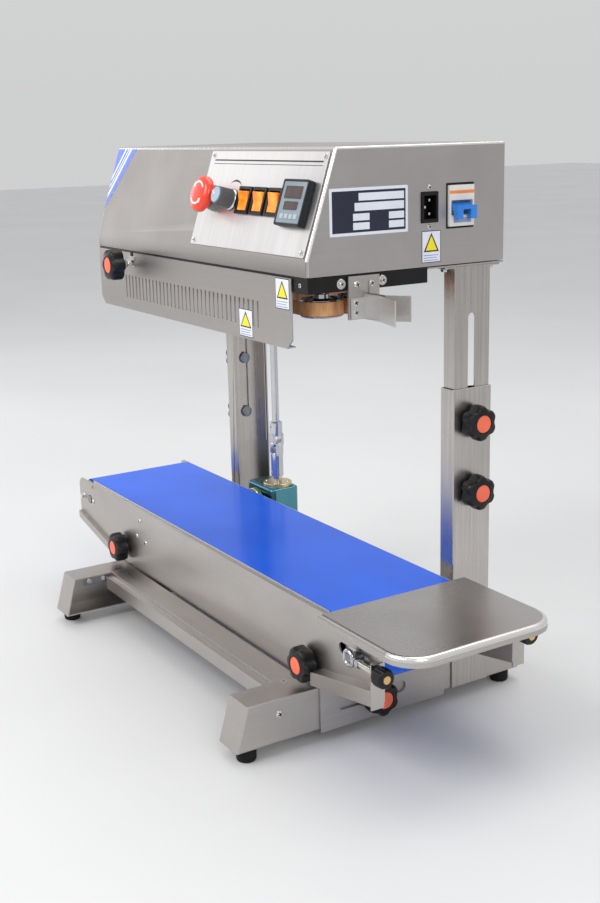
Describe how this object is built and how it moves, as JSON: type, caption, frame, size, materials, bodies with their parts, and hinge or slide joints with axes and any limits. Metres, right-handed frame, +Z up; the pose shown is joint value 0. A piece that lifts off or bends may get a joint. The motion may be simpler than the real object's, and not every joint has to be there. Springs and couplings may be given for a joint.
{
  "type": "continuous band sealer",
  "caption": "Horizontal continuous band sealer: a hooded sealing head with two bands, clamped on two slotted posts above a blue belt conveyor on a sliding carriage.",
  "frame": {"origin": "middle of the footprint, on the floor under the rubber pads", "axes": "+X along the conveyor towards the bag infeed, +Y away from the operator's side, +Z up"},
  "size_m": [0.83, 0.386, 0.6285],
  "materials": {
    "frame_steel": "brushed stainless sheet, fine horizontal grain",
    "hood_steel": "brushed stainless sheet, satin, warm grey",
    "panel_steel": "finely brushed bright control plate",
    "polished_steel": "polished or plated, mirror bright",
    "screw_steel": "bright zinc plated screws, nuts and washers",
    "black_paint": "semi-gloss black paint",
    "black_plastic": "glossy moulded black",
    "matte_black": "matt moulded black",
    "knob_cap": "orange-red moulded cap",
    "rubber_foot": "soft black rubber",
    "belt_pvc": "glossy blue PVC conveyor belting",
    "band_ptfe": "brown PTFE-coated glass cloth",
    "aluminium_block": "milled aluminium",
    "roller_aluminium": "turned aluminium tube",
    "cast_housing": "grey cast housing, painted",
    "gearbox_teal": "polished blue-green die casting",
    "gearbox_flange": "yellow passivated flange",
    "brass_insert": "turned brass",
    "rocker_orange": "translucent orange, lit from inside",
    "controller_case": "dark moulded case",
    "controller_face": "grey-blue face with two dark displays",
    "display_dark": "dark display window",
    "stop_red": "red moulded mushroom head",
    "knob_grey": "ribbed grey control knob",
    "knob_blue": "light blue knob cap",
    "white_plastic": "white moulded",
    "toggle_blue": "blue moulded lever",
    "orange_stripe": "orange printed stripe",
    "label_white": "white printed label, blank fields",
    "label_blue": "dark blue printed label",
    "label_yellow": "yellow warning triangle, plain"
  },
  "bodies": {
    "base": {"foot_right": "frame_steel", "foot_left": "frame_steel", "rail_front": "frame_steel", "rail_rear": "frame_steel", "pad_front_right": "rubber_foot", "pad_rear_right": "rubber_foot", "pad_front_left": "rubber_foot", "pad_rear_left": "rubber_foot", "post_outer_right": "frame_steel", "post_outer_left": "frame_steel"},
    "head": {"hood": "hood_steel", "base_plate": "frame_steel", "seal_housing": "black_paint", "guard": "hood_steel", "post_inner_right": "frame_steel", "post_inner_left": "frame_steel", "band_front": "band_ptfe", "band_rear": "band_ptfe", "seal_bar_front": "aluminium_block", "seal_bar_rear": "aluminium_block", "guide_front": "frame_steel", "guide_rear": "frame_steel", "gear_motor": "cast_housing", "control_panel": "panel_steel", "switch_block": "black_plastic", "temperature_controller": "controller_case", "power_inlet": "matte_black", "breaker": "white_plastic"},
    "carriage": {"carriage": "frame_steel"},
    "conveyor": {"side_plate_front": "frame_steel", "side_plate_rear": "frame_steel", "belt": "belt_pvc", "belt_bed": "frame_steel", "gearbox": "gearbox_teal", "tray": "frame_steel"},
    "clamp_right_lower": {"clamp_right_lower": "black_plastic"},
    "clamp_left_lower": {"clamp_left_lower": "black_plastic"},
    "clamp_right_upper": {"clamp_right_upper": "black_plastic"},
    "clamp_left_upper": {"clamp_left_upper": "black_plastic"},
    "wheel_front_right": {"wheel_front_right": "polished_steel"},
    "wheel_rear_right": {"wheel_rear_right": "polished_steel"},
    "wheel_front_left": {"wheel_front_left": "polished_steel"},
    "wheel_rear_left": {"wheel_rear_left": "polished_steel"},
    "pressure_knob": {"pressure_knob": "black_plastic"},
    "rocker_1": {"rocker_1": "rocker_orange"},
    "rocker_2": {"rocker_2": "rocker_orange"},
    "rocker_3": {"rocker_3": "rocker_orange"},
    "stop_button": {"stop_button": "stop_red"},
    "speed_knob": {"speed_knob": "knob_grey"},
    "breaker_toggle": {"breaker_toggle": "toggle_blue"},
    "slide_knob": {"slide_knob": "black_plastic"},
    "tail_roller": {"tail_roller": "roller_aluminium"},
    "drive_roller": {"drive_roller": "screw_steel"},
    "tension_roller": {"tension_roller": "roller_aluminium"},
    "tension_axle": {"tension_axle": "polished_steel"},
    "tension_knob_front": {"tension_knob_front": "black_plastic"},
    "tension_knob_rear": {"tension_knob_rear": "black_plastic"},
    "drive_shaft": {"drive_shaft": "polished_steel"},
    "lift_knob_left": {"lift_knob_left": "black_plastic"},
    "lift_knob_right": {"lift_knob_right": "black_plastic"}
  },
  "joints": [
    {"name": "head_height", "type": "slide", "parent": "base", "child": "head", "axis": [0, 0, 1], "range_m": [-0.1, 0]},
    {"name": "clamp_right_lower_turn", "type": "hinge", "parent": "base", "child": "clamp_right_lower", "pos_m": [0.2443, 0.1163, 0.25], "axis": [1, 0, 0], "continuous": true},
    {"name": "clamp_right_upper_turn", "type": "hinge", "parent": "base", "child": "clamp_right_upper", "pos_m": [0.2443, 0.1163, 0.329], "axis": [1, 0, 0], "continuous": true},
    {"name": "clamp_left_lower_turn", "type": "hinge", "parent": "base", "child": "clamp_left_lower", "pos_m": [-0.2768, 0.1163, 0.25], "axis": [1, 0, 0], "continuous": true},
    {"name": "clamp_left_upper_turn", "type": "hinge", "parent": "base", "child": "clamp_left_upper", "pos_m": [-0.2768, 0.1163, 0.329], "axis": [1, 0, 0], "continuous": true},
    {"name": "slide_knob_turn", "type": "hinge", "parent": "base", "child": "slide_knob", "pos_m": [0.2443, -0.0185, 0.038], "axis": [1, 0, 0], "continuous": true},
    {"name": "carriage_slide", "type": "slide", "parent": "base", "child": "carriage", "axis": [0, 1, 0], "range_m": [-0.035, 0.01]},
    {"name": "lift_knob_left_turn", "type": "hinge", "parent": "carriage", "child": "lift_knob_left", "pos_m": [-0.2567, -0.0909, 0.0894], "axis": [0, 1, 0], "continuous": true},
    {"name": "lift_knob_right_turn", "type": "hinge", "parent": "carriage", "child": "lift_knob_right", "pos_m": [0.2242, -0.0909, 0.0894], "axis": [0, 1, 0], "continuous": true},
    {"name": "conveyor_lift", "type": "slide", "parent": "carriage", "child": "conveyor", "axis": [0, 0, 1], "range_m": [0, 0.015]},
    {"name": "drive_roller_spin", "type": "hinge", "parent": "conveyor", "child": "drive_roller", "pos_m": [-0.193, -0.0058, 0.1347], "axis": [0, 1, 0], "continuous": true},
    {"name": "tail_roller_spin", "type": "hinge", "parent": "conveyor", "child": "tail_roller", "pos_m": [-0.378, -0.0058, 0.127], "axis": [0, 1, 0], "continuous": true},
    {"name": "tension_slide", "type": "slide", "parent": "conveyor", "child": "tension_axle", "axis": [1, 0, 0], "range_m": [-0.004, 0]},
    {"name": "tension_roller_spin", "type": "hinge", "parent": "tension_axle", "child": "tension_roller", "pos_m": [0.311, -0.0058, 0.127], "axis": [0, 1, 0], "continuous": true},
    {"name": "tension_knob_front_turn", "type": "hinge", "parent": "conveyor", "child": "tension_knob_front", "pos_m": [0.369, -0.0991, 0.127], "axis": [1, 0, 0], "continuous": true},
    {"name": "tension_knob_rear_turn", "type": "hinge", "parent": "conveyor", "child": "tension_knob_rear", "pos_m": [0.369, 0.0875, 0.127], "axis": [1, 0, 0], "continuous": true},
    {"name": "drive_shaft_spin", "type": "hinge", "parent": "conveyor", "child": "drive_shaft", "pos_m": [-0.1705, 0.1075, 0.222], "axis": [0, 0, 1], "continuous": true},
    {"name": "wheel_front_right_spin", "type": "hinge", "parent": "head", "child": "wheel_front_right", "pos_m": [0.195, -0.0487, 0.466], "axis": [0, 0, 1], "continuous": true},
    {"name": "wheel_rear_right_spin", "type": "hinge", "parent": "head", "child": "wheel_rear_right", "pos_m": [0.195, -0.0023, 0.466], "axis": [0, 0, 1], "continuous": true},
    {"name": "wheel_front_left_spin", "type": "hinge", "parent": "head", "child": "wheel_front_left", "pos_m": [-0.221, -0.0487, 0.466], "axis": [0, 0, 1], "continuous": true},
    {"name": "wheel_rear_left_spin", "type": "hinge", "parent": "head", "child": "wheel_rear_left", "pos_m": [-0.221, -0.0023, 0.466], "axis": [0, 0, 1], "continuous": true},
    {"name": "pressure_knob_turn", "type": "hinge", "parent": "head", "child": "pressure_knob", "pos_m": [-0.167, -0.1105, 0.488], "axis": [0, 1, 0], "continuous": true},
    {"name": "stop_button_press", "type": "slide", "parent": "head", "child": "stop_button", "axis": [0, 0.9469, -0.3214], "range_m": [0, 0.004], "stiffness_N_per_m": 600},
    {"name": "speed_knob_turn", "type": "hinge", "parent": "head", "child": "speed_knob", "pos_m": [0.0655, -0.0775, 0.57253], "axis": [0, -0.9469, 0.3214], "range_deg": [-300, 0]},
    {"name": "rocker_1_tilt", "type": "hinge", "parent": "head", "child": "rocker_1", "pos_m": [0.0945, -0.07864, 0.57291], "axis": [1, 0, 0], "range_deg": [-24, 0]},
    {"name": "rocker_2_tilt", "type": "hinge", "parent": "head", "child": "rocker_2", "pos_m": [0.1258, -0.07864, 0.57291], "axis": [1, 0, 0], "range_deg": [-24, 0]},
    {"name": "rocker_3_tilt", "type": "hinge", "parent": "head", "child": "rocker_3", "pos_m": [0.1571, -0.07864, 0.57291], "axis": [1, 0, 0], "range_deg": [-24, 0]},
    {"name": "breaker_toggle_tilt", "type": "hinge", "parent": "head", "child": "breaker_toggle", "pos_m": [0.24, 0.09675, 0.563], "axis": [0, 1, 0], "range_deg": [-30, 0]}
  ],
  "couplings": [
    {"joint": "tail_roller_spin", "follows": "drive_roller_spin", "ratio": 0.70922},
    {"joint": "tension_roller_spin", "follows": "drive_roller_spin", "ratio": 0.70922},
    {"joint": "drive_shaft_spin", "follows": "drive_roller_spin", "ratio": 10},
    {"joint": "wheel_front_right_spin", "follows": "drive_roller_spin", "ratio": -0.88496},
    {"joint": "wheel_front_left_spin", "follows": "drive_roller_spin", "ratio": -0.88496},
    {"joint": "wheel_rear_right_spin", "follows": "drive_roller_spin", "ratio": 0.88496},
    {"joint": "wheel_rear_left_spin", "follows": "drive_roller_spin", "ratio": 0.88496}
  ]
}
